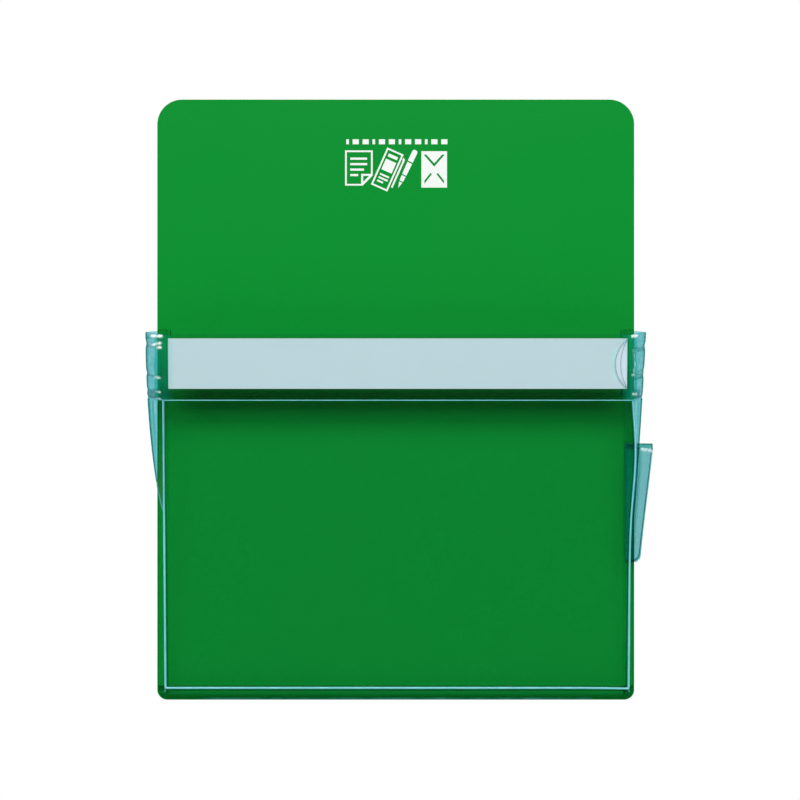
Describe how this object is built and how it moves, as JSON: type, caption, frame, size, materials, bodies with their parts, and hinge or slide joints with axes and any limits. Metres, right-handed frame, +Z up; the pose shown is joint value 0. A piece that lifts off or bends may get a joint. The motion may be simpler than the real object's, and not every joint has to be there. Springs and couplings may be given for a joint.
{
  "type": "magnetic document pocket",
  "caption": "Upright magnetic sheet with a clear forward-leaning document pocket, pleated sides, a title strip along its rim and a pen sleeve at its side.",
  "frame": {"origin": "centre of the magnet sheet's back face, which sticks to the wall", "axes": "+Y out of the back face into the wall, -Y to the front, +Z up towards the bare upper part, +X to the right where the pen sleeve is"},
  "size_m": [0.2539, 0.0232, 0.302],
  "materials": {
    "magnet": "matt flexible magnet",
    "face_vinyl": "satin printed vinyl",
    "clear_film": "clear glossy film with a blue-green tint",
    "title_paper": "plain matt paper"
  },
  "bodies": {
    "root": {"magnet_sheet": "magnet", "face_sheet": "face_vinyl", "pocket_film": "clear_film", "rim_layer": "clear_film", "title_label": "title_paper", "pen_sleeve": "clear_film"}
  },
  "joints": []
}
